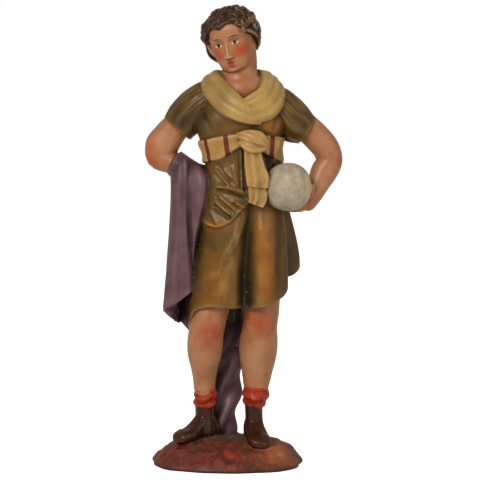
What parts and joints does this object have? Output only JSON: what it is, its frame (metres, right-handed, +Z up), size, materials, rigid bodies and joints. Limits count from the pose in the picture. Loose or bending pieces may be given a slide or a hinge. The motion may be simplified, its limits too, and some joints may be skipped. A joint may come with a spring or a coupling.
{
  "type": "nativity shepherd figurine",
  "caption": "Painted clay crib shepherd in a girt tunic, scarf and hanging cloak, hands at the hips with a round bundle, standing on a low mound of earth.",
  "frame": {"origin": "middle of the flat underside of the mound", "axes": "+Z up through the standing figure, -Y the way it faces, +X to its own left, the side of the round bundle"},
  "size_m": [0.0646, 0.0362, 0.1497],
  "materials": {
    "painted_clay": "hand-painted moulded clay under a thin satin varnish"
  },
  "bodies": {
    "root": {"shepherd_figurine": "painted_clay"}
  },
  "joints": []
}
